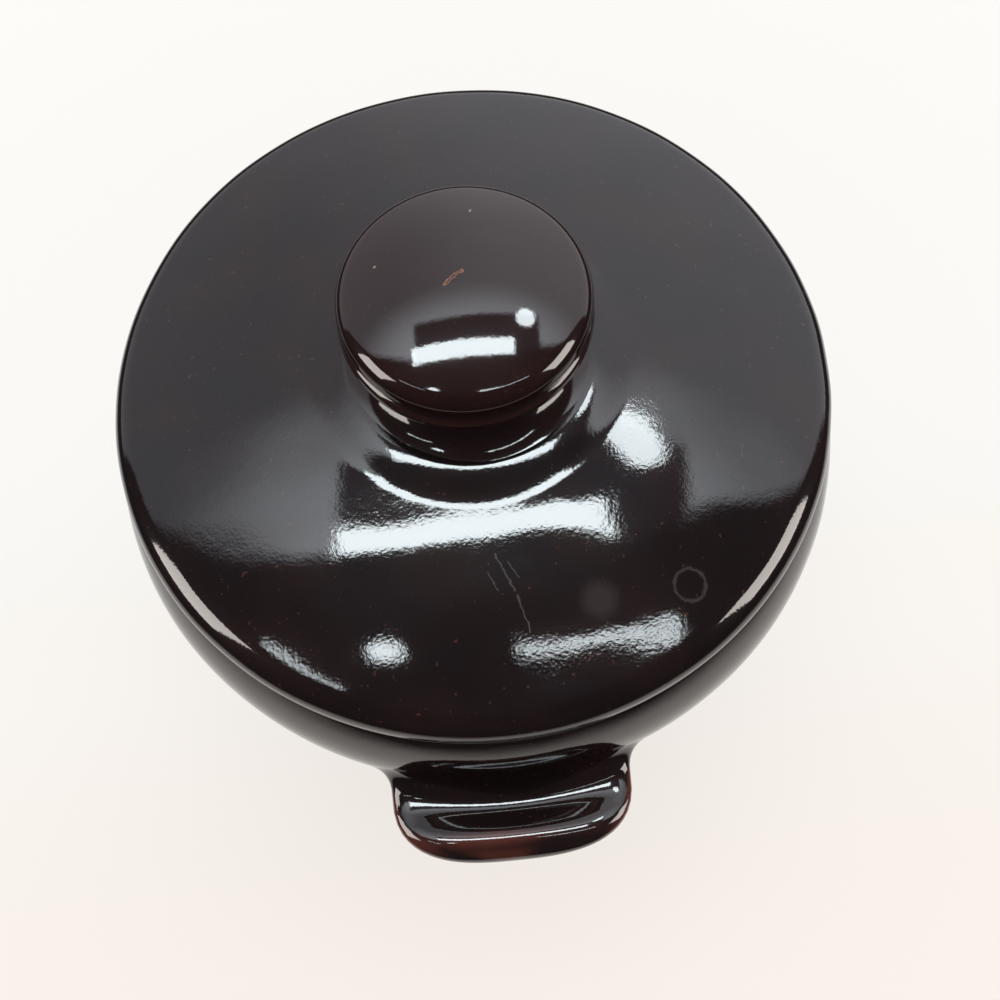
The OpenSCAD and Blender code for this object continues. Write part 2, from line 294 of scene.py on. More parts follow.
KNOB_OUTLINE = joined(
    [(0, PAD_Z - KNOB_SINK), (KNOB_FOOT_R - KNOB_SINK_IN, PAD_Z - KNOB_SINK), (SKIRT_R, PAD_Z - SKIRT_SINK)],
    [neck(a) for a in QUARTER],
    line((WAIST_R, SWEEP_Z), (WAIST_R, WAIST_Z), 1),
    arc(CAP_IN, WAIST_Z, WAIST_FILLET, 180, 90, 8),
    [(CAP_IN + (KNOB_R - CAP_IN) * math.sin(a), CAP_Z - CAP_UNDER * math.cos(a)) for a in QUARTER],
    arc(BAND_X, CAP_Z, BAND_ROUND, 0, BAND_END, 12),
    arc(CROWN_X, CROWN_Z, CROWN_ROUND, CROWN_END, 90 - CROWN_ANGLE, 24),
    arc(0, CROWN_MIDDLE, CROWN_R, 90 - CROWN_ANGLE, 90, 30),
)

# ---- Meshes ----


class Shell:
    """Vertices in millimetres and faces of a mesh that is being built."""

    def __init__(self):
        self.points = []
        self.faces = []

    def ring(self, points):
        """Adds points and gives their numbers."""
        start = len(self.points)
        self.points += [tuple(p) for p in points]
        return list(range(start, start + len(points)))

    def strip(self, lower, upper, skip=()):
        """Quads between two closed rings of the same length."""
        count = len(lower)
        for i in range(count):
            if i not in skip:
                j = (i + 1) % count
                self.faces.append((lower[i], lower[j], upper[j], upper[i]))

    def fan(self, ring, centre):
        """Triangles that close a ring at one new point."""
        middle = self.ring([centre])[0]
        for i in range(len(ring)):
            self.faces.append((ring[i], ring[(i + 1) % len(ring)], middle))


def around(r, z, count):
    """A ring of points round the axis, counted from the front, -Y, towards +X."""
    angles = np.arange(count) * 2 * math.pi / count
    return [(r * math.sin(a), -r * math.cos(a), z) for a in angles]


def revolve(shell, outline, count, windows=None):
    """Turns an outline that starts and ends on the axis, and gives its rows of vertices.

    windows(row) names the faces that are left out of a row.
    """
    rows = [shell.ring(around(r, z, count)) for r, z in outline[1:-1]]
    shell.fan(rows[0][::-1], (0, 0, outline[0][1]))
    for i, (lower, upper) in enumerate(zip(rows, rows[1:])):
        shell.strip(lower, upper, windows(i + 1) if windows else ())
    shell.fan(rows[-1], (0, 0, outline[-1][1]))
    return rows


# Lug: the same rules as in the CAD source, on numpy arrays of angles
LUG_Z = POT_HEIGHT - LUG_DROP
LUG_TIP = BELLY_R + LUG_REACH
APPROACH_RINGS = 6
APPROACH_POWER = 1.5
FLARE_RINGS = 8
TIP_ANGLES = [8, 16, 24, 31, 38, 44, 50, 55, 60, 64, 68, 72, 75, 78, 81, 83.5, 86, 88, 89.3]


def outer_r(z):
    """Radius of the pot's outside at a height."""
    z = np.asarray(z, float)
    low = WALL_X + np.sqrt(WALL_ARC**2 - (BELLY_Z - np.minimum(z, BELLY_Z)) ** 2)
    high = SHOULDER_X + np.sqrt(SHOULDER_ARC**2 - (np.maximum(z, BELLY_Z) - BELLY_Z) ** 2)
    return np.where(z < BELLY_Z, low, high)


def wall_out(x, z):
    """How far out of the axis the pot's wall is at a place across and up."""
    return np.sqrt(outer_r(z) ** 2 - x**2)


def section(a):
    """Points across and up of the lug's section, a round-cornered square from -1 to 1."""
    powers = np.abs(np.cos(a)) ** SECTION_POWER + np.abs(np.sin(a)) ** SECTION_POWER
    size = powers ** (1 / SECTION_POWER)
    return np.cos(a) / size, np.sin(a) / size


def lug_point(a, out):
    """Points on a lug's side at angles round it and outward places, as columns across, out, up."""
    t = np.clip((out - BELLY_R) / LUG_REACH, 0, 1)
    along = np.cos(np.pi / 2 * np.minimum(1, np.abs(t - REST_MIDDLE) / REST_SPREAD)) ** 2
    width = LUG_WIDTH / 2 * (1 - t**LUG_SQUARE) ** (1 / LUG_SQUARE)
    thick = LUG_THICK / 2 * np.sqrt(1 - t**TAPER_POWER)
    depth = np.where(np.sin(a) > 0, THUMB_REST, -FINGER_REST)
    across, up = section(a)
    bowl = REST_LEVEL + (1 - REST_LEVEL) * np.cos(np.pi / 2 * across) ** 2
    rest = along * (1 - np.abs(across) ** REST_POWER) * bowl * depth
    return np.stack([width * across, out + 0 * a, LUG_Z + LUG_LIFT * t + thick * up - rest], 1)


def wall_point(a, along):
    """Points of the wall round a lug's root, moved along the wall away from it."""
    across, up = section(a)
    nx = LUG_THICK * np.sign(across) * np.abs(across) ** (SECTION_POWER - 1)
    nz = LUG_WIDTH * np.sign(up) * np.abs(up) ** (SECTION_POWER - 1)
    size = np.hypot(nx, nz)
    x = LUG_WIDTH / 2 * across + along * nx / size
    z = LUG_Z + LUG_THICK / 2 * up + along * nz / size
    return np.stack([x, wall_out(x, z), z], 1)


def lug_rings(edge):
    """Rings of points from the edge of the window in the wall, over the flare, to the lug's tip."""
    half_x = np.abs(edge[:, 0]).max()
    low, high = edge[:, 2].min(), edge[:, 2].max()
    middle = (low + high) / 2
    a = np.arctan2((edge[:, 2] - middle) / (high - middle), edge[:, 0] / half_x)
    foot = wall_point(a, LUG_FLARE)
    for k in range(1, APPROACH_RINGS + 1):
        t = 1 - (1 - k / APPROACH_RINGS) ** APPROACH_POWER
        x = edge[:, 0] + (foot[:, 0] - edge[:, 0]) * t
        z = edge[:, 2] + (foot[:, 2] - edge[:, 2]) * t
        yield np.stack([x, wall_out(x, z), z], 1)
    root = wall_point(a, 0)
    start = root[:, 1] + LUG_FLARE
    lip = lug_point(a, start)
    for k in range(1, FLARE_RINGS + 1):
        t = k / FLARE_RINGS
        yield foot * (1 - t) ** 2 + root * 2 * t * (1 - t) + lip * t * t
    for phi in np.radians(TIP_ANGLES):
        yield lug_point(a, start + (LUG_TIP - start) * math.sin(phi) ** (2 / LUG_SQUARE))


def add_lug(shell, loop, turn):
    """Closes a window in the wall, whose edge is loop, with a lug. turn is 1 in front, -1 behind."""
    edge = np.array([shell.points[i] for i in loop]) * [turn, turn, 1]
    previous = loop
    for points in lug_rings(edge):
        ring = shell.ring(points * [turn, -turn, 1])
        shell.strip(previous, ring)
        previous = ring
    shell.fan(previous, (0, -turn * LUG_TIP, LUG_Z + LUG_LIFT))


# Columns round the pot and the lid, and the window in the pot's wall behind each lug
ROUND_COLUMNS = 320
KNOB_COLUMNS = 224
WINDOW_HALF = 23
WINDOW_DOWN = 17
WINDOW_UP = 14
OUTSIDE_R = 80


def wall_row(height):
    """Number of the first outline point on the pot's outside above a height."""
    return next(i for i, (r, z) in enumerate(POT_OUTLINE) if r > OUTSIDE_R and z > height)


def build_pot():
    """The pot's turned shell with a lug closed into each of its two windows."""
    shell = Shell()
    count = ROUND_COLUMNS
    first = wall_row(LUG_Z - WINDOW_DOWN)
    last = wall_row(LUG_Z + WINDOW_UP)
    hidden = set()
    for centre in (0, count // 2):
        hidden |= {(centre + k) % count for k in range(-WINDOW_HALF, WINDOW_HALF)}
    rows = revolve(shell, POT_OUTLINE, count, lambda row: hidden if first <= row < last else ())
    for centre, turn in ((0, 1), (count // 2, -1)):
        columns = [(centre + k) % count for k in range(-WINDOW_HALF, WINDOW_HALF + 1)]
        grid = [[rows[i - 1][c] for c in columns] for i in range(first, last + 1)]
        right = [row[-1] for row in grid[:-1]]
        left = [row[0] for row in grid[:0:-1]]
        add_lug(shell, grid[0][:-1] + right + grid[-1][:0:-1] + left, turn)
    return shell


def build_turned(outline, count):
    """A plain turned shell."""
    shell = Shell()
    revolve(shell, outline, count)
    return shell


def triangles(faces):
    """The faces as rows of three vertex numbers."""
    return np.array([(f[0], f[k], f[k + 1]) for f in faces for k in range(1, len(f) - 1)])


def vertex_normals(points, tris):
    """Normals of length 1 at the vertices, weighted by the areas round them."""
    first = points[tris[:, 0]]
    cross = np.cross(points[tris[:, 1]] - first, points[tris[:, 2]] - first)
    normals = np.zeros_like(points)
    for k in range(3):
        np.add.at(normals, tris[:, k], cross)
    return normals / np.maximum(np.linalg.norm(normals, axis=1), 1e-12)[:, None]


def convexity(points, tris):
    """Mean curvature at each vertex, positive on outward edges, per millimetre."""
    normals = vertex_normals(points, tris)
    total = np.zeros(len(points))
    weight = np.zeros(len(points))
    for a, b in ((0, 1), (1, 2), (2, 0)):
        i, j = tris[:, a], tris[:, b]
        step = points[j] - points[i]
        length = np.maximum((step**2).sum(1), 1e-6)
        bend = ((normals[j] - normals[i]) * step).sum(1) / length
        for k in (i, j):
            np.add.at(total, k, bend)
            np.add.at(weight, k, 1)
    return total / np.maximum(weight, 1)


WAVES = 14
WAVES_GAIN = 2.2
PHASES = (0, 6.28)
UNEVEN_LENGTHS = (26, 70)
RIPPLE_LENGTHS = (10, 19)


def hand_waves(points, seed, lengths):
    """Unevenness left by the potter's hand, from 0 to 1, at points in millimetres."""
    rng = np.random.default_rng(seed)
    value = np.zeros(len(points))
    for _ in range(WAVES):
        way = rng.normal(size=3)
        length = rng.uniform(*lengths)
        phase = rng.uniform(*PHASES)
        value += np.sin(points @ (way / np.linalg.norm(way)) * 2 * math.pi / length + phase)
    return 0.5 + 0.5 * np.clip(value / WAVES * WAVES_GAIN, -1, 1)


def make(name, shell, body, seed, uneven, ripple, hold=None):
    """Turns a shell into a smooth Blender mesh that rides on a body.

    uneven and ripple are the depths in millimetres of the long and the short waves, which only
    sink the surface. hold(points) is 0 where the surface stays in its place.
    """
    points = np.array(shell.points, float)
    tris = triangles(shell.faces)
    normals = vertex_normals(points, tris)
    sink = uneven * hand_waves(points, seed, UNEVEN_LENGTHS)
    sink += ripple * hand_waves(points, seed + 1, RIPPLE_LENGTHS)
    if hold is not None:
        sink *= hold(points)
    points = points - normals * sink[:, None]
    curve = convexity(points, tris)
    mesh = bpy.data.meshes.new(name)
    mesh.from_pydata((points * MM).tolist(), [], shell.faces)
    attribute = mesh.attributes.new("convexity", "FLOAT", "POINT")
    attribute.data.foreach_set("value", curve.astype(np.float32))
    mesh.shade_smooth()
    mesh.update()
    piece = bpy.data.objects.new(name, mesh)
    bpy.context.scene.collection.objects.link(piece)
    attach(piece, body)
    return piece


HOLD_BLEND = 4
TABLE_HOLD = 1
RIM_HOLD = 0.5
SEAT_HOLD = 1


def clear_of_foot(points):
    """0 where the pot touches the table or the lid, 1 elsewhere."""
    above_table = ease((points[:, 2] - TABLE_HOLD) / HOLD_BLEND)
    return above_table * ease((POT_HEIGHT - RIM_HOLD - points[:, 2]) / HOLD_BLEND)


def clear_of_rim(points):
    """0 where the lid touches the pot, 1 elsewhere."""
    near = np.hypot(points[:, 0], points[:, 1]) > FLANGE_IN - SEAT_HOLD
    return np.where(near, ease((points[:, 2] - EDGE_Z + SEAT_HOLD) / HOLD_BLEND), 1)


# ---- Materials ----


class Graph:
    """Adds and joins the nodes of a material or of the world."""

    def __init__(self, owner):
        owner.use_nodes = True
        owner.node_tree.nodes.clear()
        self.tree = owner.node_tree

    def add(self, kind, inputs=None, **settings):
        """A new node, with its inputs set or linked."""
        made = self.tree.nodes.new(kind)
        for key, value in settings.items():
            setattr(made, key, value)
        for key, value in (inputs or {}).items():
            self.set(made.inputs[key], value)
        return made

    def set(self, socket, value):
        """Links a socket to another node's output, or sets it to a plain value."""
        if isinstance(value, bpy.types.NodeSocket):
            self.tree.links.new(value, socket)
        else:
            socket.default_value = value

    def surface(self, kind, shader):
        """Adds the output node of this kind and gives it a shader."""
        self.set(self.add(kind).inputs["Surface"], shader.outputs[0])

    def math(self, operation, a, b=0.0):
        """Result of an operation on two numbers."""
        return self.add("ShaderNodeMath", {0: a, 1: b}, operation=operation).outputs[0]

    def span(self, value, low, high, to_low=0.0, to_high=1.0):
        """Smooth step of value from low to high."""
        made = self.add(
            "ShaderNodeMapRange",
            {"Value": value, "From Min": low, "From Max": high, "To Min": to_low, "To Max": to_high},
            interpolation_type="SMOOTHSTEP",
        )
        return made.outputs["Result"]

    def mix(self, factor, a, b):
        """Colour a where factor is 0 and b where it is 1. Sockets 6, 7 and 2 are a mix node's colours."""
        made = self.add("ShaderNodeMix", data_type="RGBA")
        self.set(made.inputs["Factor"], factor)
        self.set(made.inputs[6], a)
        self.set(made.inputs[7], b)
        return made.outputs[2]

    def noise(self, where, scale, detail=2.0, roughness=0.5):
        """Noise from 0 to 1, with scale per metre."""
        inputs = {"Vector": where, "Scale": scale, "Detail": detail, "Roughness": roughness}
        return self.add("ShaderNodeTexNoise", inputs).outputs["Fac"]

    def split(self, where):
        """The X, Y and Z of a vector."""
        return self.add("ShaderNodeSeparateXYZ", {0: where}).outputs

    def vector(self, operation, a, b=(0, 0, 0)):
        """Result of a vector operation: a number for a length, distance or dot product."""
        made = self.add("ShaderNodeVectorMath", {0: a, 1: b}, operation=operation)
        number = operation in ("LENGTH", "DISTANCE", "DOT_PRODUCT")
        return made.outputs["Value" if number else "Vector"]

    def wobble(self, where):
        """Small shifts that make the outlines of marks uneven."""
        made = self.add("ShaderNodeTexNoise", {"Vector": where, "Scale": MARK_SCALE, "Detail": 3})
        centred = self.vector("SUBTRACT", made.outputs["Color"], (0.5, 0.5, 0.5))
        return self.vector("MULTIPLY", centred, (MARK_SHIFT, MARK_SHIFT, 0))

    def spot(self, flat, middle, radius, soft):
        """1 inside a round spot, seen from above, with a soft edge. Lengths in millimetres."""
        away = self.vector("DISTANCE", flat, (middle[0] * MM, middle[1] * MM, 0))
        return self.span(away, radius * MM, (radius - soft) * MM)

    def streak(self, flat, start, end, width):
        """1 along a straight thin line, seen from above. Lengths in millimetres."""
        a = Vector((start[0] * MM, start[1] * MM, 0))
        way = Vector((end[0] * MM, end[1] * MM, 0)) - a
        from_start = self.vector("SUBTRACT", flat, a)
        share = self.vector("DOT_PRODUCT", from_start, way / way.length_squared)
        share = self.add("ShaderNodeClamp", {"Value": share}).outputs["Result"]
        along = self.add("ShaderNodeVectorMath", {0: way, "Scale": share}, operation="SCALE")
        away = self.vector("DISTANCE", from_start, along.outputs["Vector"])
        return self.span(away, width * MM, width * MM / 3)

    def streaks(self, flat, rows):
        """1 along any of several lines, each given as its start, end and width."""
        whole = self.streak(flat, *rows[0])
        for row in rows[1:]:
            whole = self.math("MAXIMUM", whole, self.streak(flat, *row))
        return whole


def rgb(red, green, blue):
    """An opaque colour."""
    return (red, green, blue, 1.0)


# Scales are per metre, and pairs are where a smooth step starts and ends
CLOUD_SCALE = 45
CLOUD_STEP = (0.35, 0.7)
EDGE_UNEVEN = 0.05
SPECK_SCALE = 900
SPECK_STEP = (0.72, 0.76)
SPECK_SHARE = 0.5
SMEAR_SCALE = 28
SMEAR_STEP = (0.56, 0.72)
SMEAR_ROUGHNESS = 0.03
GLAZE_ROUGHNESS = 0.045
CLAY_ROUGHNESS = 0.8
GRAIN_SCALE = 1500
DIMPLE_SCALE = 330
DIMPLE_DEPTH = 1.5
MARK_SCALE = 900
MARK_SHIFT = 0.0012
BARE_CLAY = rgb(0.52, 0.40, 0.28)


def glaze_colour(g, where, deep, warm, thin, edge):
    """Clouds of the deep and the warm colour, and the thin one on outward edges and in specks."""
    curve = g.add("ShaderNodeAttribute", attribute_name="convexity").outputs["Fac"]
    cloud = g.noise(where, CLOUD_SCALE, 3)
    colour = g.mix(g.span(cloud, *CLOUD_STEP), deep, warm)
    uneven = g.math("MULTIPLY", g.math("SUBTRACT", cloud, 0.5), EDGE_UNEVEN)
    colour = g.mix(g.span(g.math("ADD", curve, uneven), *edge), colour, thin)
    speck = g.span(g.noise(where, SPECK_SCALE, 1), *SPECK_STEP)
    return g.mix(g.math("MULTIPLY", speck, SPECK_SHARE), colour, thin)


def glaze_peel(g, where, depth):
    """Normals of the glaze's fine texture: grain, and wider dimples."""
    dimples = g.math("MULTIPLY", g.noise(where, DIMPLE_SCALE, 2), DIMPLE_DEPTH)
    height = g.math("ADD", g.noise(where, GRAIN_SCALE, 3), dimples)
    inputs = {"Height": height, "Strength": 1.0, "Distance": depth}
    return g.add("ShaderNodeBump", inputs).outputs["Normal"]


def glaze(name, deep, warm, thin, edge, peel_depth, bare=None, marks=None):
    """Glossy brown glaze: clouds of a deep and a warm colour, and a thin one on outward edges.

    edge is the pair of curvatures, per millimetre, from which and at which the glaze is thin.
    peel_depth is the depth of the glaze's fine texture, in metres. bare(g, where) gives 1 where the
    clay is left without glaze. marks(g, flat, colour) gives the colour with the piece's own marks,
    at places seen from above.
    """
    material = bpy.data.materials.new(name)
    g = Graph(material)
    where = g.add("ShaderNodeTexCoord").outputs["Object"]
    colour = glaze_colour(g, where, deep, warm, thin, edge)
    smear = g.span(g.noise(where, SMEAR_SCALE, 4, 0.65), *SMEAR_STEP)
    roughness = g.math("ADD", g.math("MULTIPLY", smear, SMEAR_ROUGHNESS), GLAZE_ROUGHNESS)
    if marks:
        worn = g.vector("ADD", where, g.wobble(where))
        colour = marks(g, g.vector("MULTIPLY", worn, (1, 1, 0)), colour)
    if bare:
        clay = bare(g, where)
        colour = g.mix(clay, colour, BARE_CLAY)
        roughness = g.math("ADD", roughness, g.math("MULTIPLY", clay, CLAY_ROUGHNESS))
    inputs = {
        "Base Color": colour,
        "Roughness": roughness,
        "IOR": 1.58,
        "Coat Weight": 0.06,
        "Coat Roughness": 0.26,
        "Normal": glaze_peel(g, where, peel_depth),
    }
    g.surface("ShaderNodeOutputMaterial", g.add("ShaderNodeBsdfPrincipled", inputs))
    return material


# Where the clay is bare, as heights and a radius in metres
FOOT_GLAZE_END = (0.0033, 0.0027)
SEAT_START = (0.0698, 0.0703)
SEAT_GLAZE_END = (0.1166, 0.1162)


def bare_foot(g, where):
    """The underside and the lowest part of the foot ring."""
    return g.span(g.split(where)["Z"], *FOOT_GLAZE_END)


def bare_seat(g, where):
    """The flat ring that rests on the pot's rim, and the outside of the hanging ring."""
    radius = g.vector("LENGTH", g.vector("MULTIPLY", where, (1, 1, 0)))
    low = g.span(g.split(where)["Z"], *SEAT_GLAZE_END)
    return g.math("MULTIPLY", g.span(radius, *SEAT_START), low)


# Marks, seen from above: places, lengths and widths in millimetres
RING_MIDDLE = (40.5, -55.8)
RING_OUT = 3.9
RING_IN = 3.3
RING_SOFT = 0.6
RING_SHARE = 0.6
OVAL_MIDDLE = (21.5, -57.4)
OVAL_R = 5.5
OVAL_SOFT = 4.0
OVAL_SHARE = 0.35
SCRATCHES = (
    ((1.2, -46.5), (4.4, -54), 0.28),
    ((4.9, -55), (6.8, -62.5), 0.22),
    ((3.6, -48), (5.6, -51.5), 0.18),
    ((-0.6, -50), (1.0, -53.5), 0.16),
)
WORN = rgb(0.085, 0.072, 0.070)
CRACK_RIM = (((-3.4, -1.5), (-1.3, 0.3), 0.55), ((-1.3, 0.3), (0.2, 0.9), 0.5))
CRACK_CORE = (((-3.2, -1.4), (-1.3, 0.3), 0.2), ((-1.3, 0.3), (0, 0.8), 0.16))
CRACK_SHARE = 0.85
CRACK_PALE = rgb(0.34, 0.15, 0.07)
CRACK_DARK = rgb(0.012, 0.006, 0.005)
PINHOLES = ((2.8, 15.8), (-16.7, 5.3))
PINHOLE_R = 0.42
PINHOLE_SOFT = 0.3
PINHOLE_PALE = rgb(0.40, 0.30, 0.24)


def lid_marks(g, flat, colour):
    """Wear on the front of the dome: a ring, a dull oval and fine scratches."""
    disc = g.spot(flat, RING_MIDDLE, RING_OUT, RING_SOFT)
    ring = g.math("SUBTRACT", disc, g.spot(flat, RING_MIDDLE, RING_IN, RING_SOFT))
    oval = g.math("MULTIPLY", g.spot(flat, OVAL_MIDDLE, OVAL_R, OVAL_SOFT), OVAL_SHARE)
    worn = g.math("MAXIMUM", g.math("MULTIPLY", ring, RING_SHARE), oval)
    worn = g.math("MAXIMUM", worn, g.streaks(flat, SCRATCHES))
    return g.mix(worn, colour, WORN)


def knob_marks(g, flat, colour):
    """A short crack in the crown's glaze, and pinholes."""
    rim = g.math("MULTIPLY", g.streaks(flat, CRACK_RIM), CRACK_SHARE)
    colour = g.mix(rim, colour, CRACK_PALE)
    colour = g.mix(g.streaks(flat, CRACK_CORE), colour, CRACK_DARK)
    holes = [g.spot(flat, middle, PINHOLE_R, PINHOLE_SOFT) for middle in PINHOLES]
    return g.mix(g.math("MAXIMUM", *holes), colour, PINHOLE_PALE)


POT_GLAZE = glaze(
    "pot_glaze",
    deep=rgb(0.0095, 0.0060, 0.0062),
    warm=rgb(0.016, 0.0080, 0.0076),
    thin=rgb(0.12, 0.034, 0.024),
    edge=(0.055, 0.14),
    peel_depth=0.000006,
    bare=bare_foot,
)
LID_GLAZE = glaze(
    "lid_glaze",
    deep=rgb(0.0080, 0.0054, 0.0058),
    warm=rgb(0.0165, 0.0080, 0.0078),
    thin=rgb(0.12, 0.042, 0.028),
    edge=(0.06, 0.2),
    peel_depth=0.000009,
    bare=bare_seat,
    marks=lid_marks,
)
KNOB_GLAZE = glaze(
    "knob_glaze",
    deep=rgb(0.0165, 0.0062, 0.0058),
    warm=rgb(0.0225, 0.0085, 0.0078),
    thin=rgb(0.062, 0.023, 0.019),
    edge=(0.14, 0.32),
    peel_depth=0.000005,
    marks=knob_marks,
)

# ---- The pieces: name, shell, body, seed, depths of the long and short waves ----
pot = make("pot", build_pot(), "pot", 3, 0.18, 0.05, clear_of_foot)
pot.data.materials.append(POT_GLAZE)
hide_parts("pot_body", "front_lug", "rear_lug")

lid = make("lid_dome", build_turned(LID_OUTLINE, ROUND_COLUMNS), "lid", 5, 0.22, 0.15, clear_of_rim)
lid.data.materials.append(LID_GLAZE)
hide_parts("lid")

knob = make("knob", build_turned(KNOB_OUTLINE, KNOB_COLUMNS), "lid", 8, 0.1, 0.02)
knob.data.materials.append(KNOB_GLAZE)
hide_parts("lid_knob")

# ---- Stage ----
scene = bpy.context.scene
BACKDROP = rgb(1.0, 0.985, 0.96)

# Floor: pale, a little warmer in front. In the glaze's mirror image it ends in the dark
FLOOR_HALF = 6.0
FLOOR_PALE = rgb(0.985, 0.975, 0.94)
FLOOR_WARM = rgb(0.985, 0.92, 0.86)
MIRRORED_DARK = rgb(0.05, 0.042, 0.042)
WARM_FRONT = (0.05, -0.16)
TINT_FADE = (0.18, 0.8)
MIRRORED_END = (0.24, 0.42)
GLOW_REACH = (0.09, 0.4)
GLOW_NEAR = 0.79


def floor_material():
    """Matt floor that takes the pot's shadow near it, and turns into the white backdrop far off."""
    material = bpy.data.materials.new("floor")
    g = Graph(material)
    where = g.add("ShaderNodeTexCoord").outputs["Object"]
    path = g.add("ShaderNodeLightPath").outputs
    far = g.vector("LENGTH", where)
    white = g.mix(g.span(g.split(where)["Y"], *WARM_FRONT), FLOOR_PALE, FLOOR_WARM)
    white = g.mix(g.span(far, *TINT_FADE), white, BACKDROP)
    mirrored_end = g.math("MULTIPLY", g.span(far, *MIRRORED_END), path["Is Glossy Ray"])
    colour = g.mix(mirrored_end, white, MIRRORED_DARK)
    matt = g.add("ShaderNodeBsdfDiffuse", {"Color": colour})
    glow = g.add("ShaderNodeEmission", {"Color": colour, "Strength": 1.0})
    seen = g.math("MAXIMUM", path["Is Camera Ray"], path["Is Glossy Ray"])
    share = g.math("MULTIPLY", g.span(far, *GLOW_REACH, GLOW_NEAR, 1.0), seen)
    shader = g.add("ShaderNodeMixShader", {0: share, 1: matt.outputs[0], 2: glow.outputs[0]})
    g.surface("ShaderNodeOutputMaterial", shader)
    return material


def build_floor():
    """A flat square under the pot."""
    corners = [(x * FLOOR_HALF, y * FLOOR_HALF, 0) for x, y in ((-1, -1), (1, -1), (1, 1), (-1, 1))]
    mesh = bpy.data.meshes.new("floor")
    mesh.from_pydata(corners, [], [(0, 1, 2, 3)])
    mesh.materials.append(floor_material())
    floor = bpy.data.objects.new("floor", mesh)
    scene.collection.objects.link(floor)


build_floor()

LID_CENTRE = Vector((0, 0, 0.13))
LAMP_AWAY = 1.7
LAMP_WHITE = (0.88, 0.97, 1.0)
WINDOW_WHITE = (1.0, 0.93, 0.88)
ROOM_WHITE = (1.0, 0.98, 0.95)
FILL_SIZE = 50
FILL_RADIANCE = 1.9


def hang(name, way, side, width, depth, radiance, colour, round_lamp=False):
    """A lamp seen from the lid in a direction, with its size given as angles in degrees.

    It is seen only in mirror images, and doesn't light matt surfaces.
    """
    data = bpy.data.lights.new(name, "AREA")
    data.shape = "ELLIPSE" if round_lamp else "RECTANGLE"
    data.size = 2 * LAMP_AWAY * math.tan(math.radians(width / 2))
    data.size_y = 2 * LAMP_AWAY * math.tan(math.radians(depth / 2))
    area = data.size * data.size_y * (math.pi / 4 if round_lamp else 1)
    data.energy = radiance * area * math.pi
    data.color = colour
    item = bpy.data.objects.new(name, data)
    turned = Matrix((side, way.cross(side), way)).transposed().to_4x4()
    item.matrix_world = Matrix.Translation(LID_CENTRE + way * LAMP_AWAY) @ turned
    item.visible_camera = False
    item.visible_diffuse = False
    scene.collection.objects.link(item)
    return item


def lamp(name, across, along, width, depth, radiance, turn=0.0, round_lamp=False):
    """A ceiling lamp at angles from overhead, in degrees: across towards +X, along towards +Y."""
    way = Vector((math.tan(math.radians(across)), math.tan(math.radians(along)), 1)).normalized()
    side = (Vector((1, 0, 0)) - way * way.x).normalized()
    t = math.radians(turn)
    side = side * math.cos(t) + way.cross(side) * math.sin(t)
    hang(name, way, side, width, depth, radiance, LAMP_WHITE, round_lamp)


def window(name, azimuth, height, width, depth, radiance):
    """A window low at the side, at an azimuth from +X and a height above the table, in degrees."""
    a, h = math.radians(azimuth), math.radians(height)
    way = Vector((math.cos(a) * math.cos(h), math.sin(a) * math.cos(h), math.sin(h)))
    side = Vector((-math.sin(a), math.cos(a), 0))
    hang(name, way, side, width, depth, radiance, WINDOW_WHITE)


def build_fill():
    """Soft light on matt surfaces, without a mirror image in the glaze."""
    up, right = Vector((0, 0, 1)), Vector((1, 0, 0))
    fill = hang("fill", up, right, FILL_SIZE, FILL_SIZE, FILL_RADIANCE, ROOM_WHITE)
    fill.visible_diffuse = True
    fill.visible_glossy = False


# Name, the two angles of its place, the two angles of its size, radiance
lamp("ceiling_panel", -2, 2.7, 38, 6.8, 18)
lamp("round_lamp", 22, 14.2, 7, 7, 16, round_lamp=True)
lamp("front_strip", 14.2, -16, 21.5, 1.4, 14)
lamp("front_round", -15.9, -13.9, 4.5, 3.2, 16, round_lamp=True)
lamp("left_strip", -28, -17.1, 12.5, 1, 12, turn=-38)
window("right_window", -18, 26, 23, 30, 8)
window("left_window", 192, 27, 22, 32, 8)
build_fill()

# World: a pale ceiling, brighter overhead and dimmer to the left, with the dark hood round the
# ceiling panel, and the dark room in front of the ceiling's edge. Places in it are x / z and y / z
CEILING_LEFT = rgb(0.68, 0.68, 0.73)
CEILING_RIGHT = rgb(1.12, 1.13, 1.20)
CEILING_STEP = (-0.45, 0.25)
OVERHEAD_GLOW = rgb(3.2, 3.4, 3.6)
OVERHEAD_NARROW = 0.55
OVERHEAD_STEP = (0.15, 0.62)
LOWEST_Z = 0.05
HOOD_DARK = rgb(0.16, 0.13, 0.16)
HOOD_ACROSS = (-0.38, 0.53)
HOOD_ALONG = (-0.1, 0.31)
HOOD_SOFT = 0.04
ROOM_DARK = rgb(0.085, 0.058, 0.062)
ROOM_STEP = (0.05, -0.01)
ROOM_SLOPES = (0.24, -0.42)
ROOM_BEND = 0.33


def between(g, value, low, high):
    """1 between low and high, with soft edges inside them."""
    return g.math("MULTIPLY", g.span(value, low, low + HOOD_SOFT), g.span(value, high, high - HOOD_SOFT))


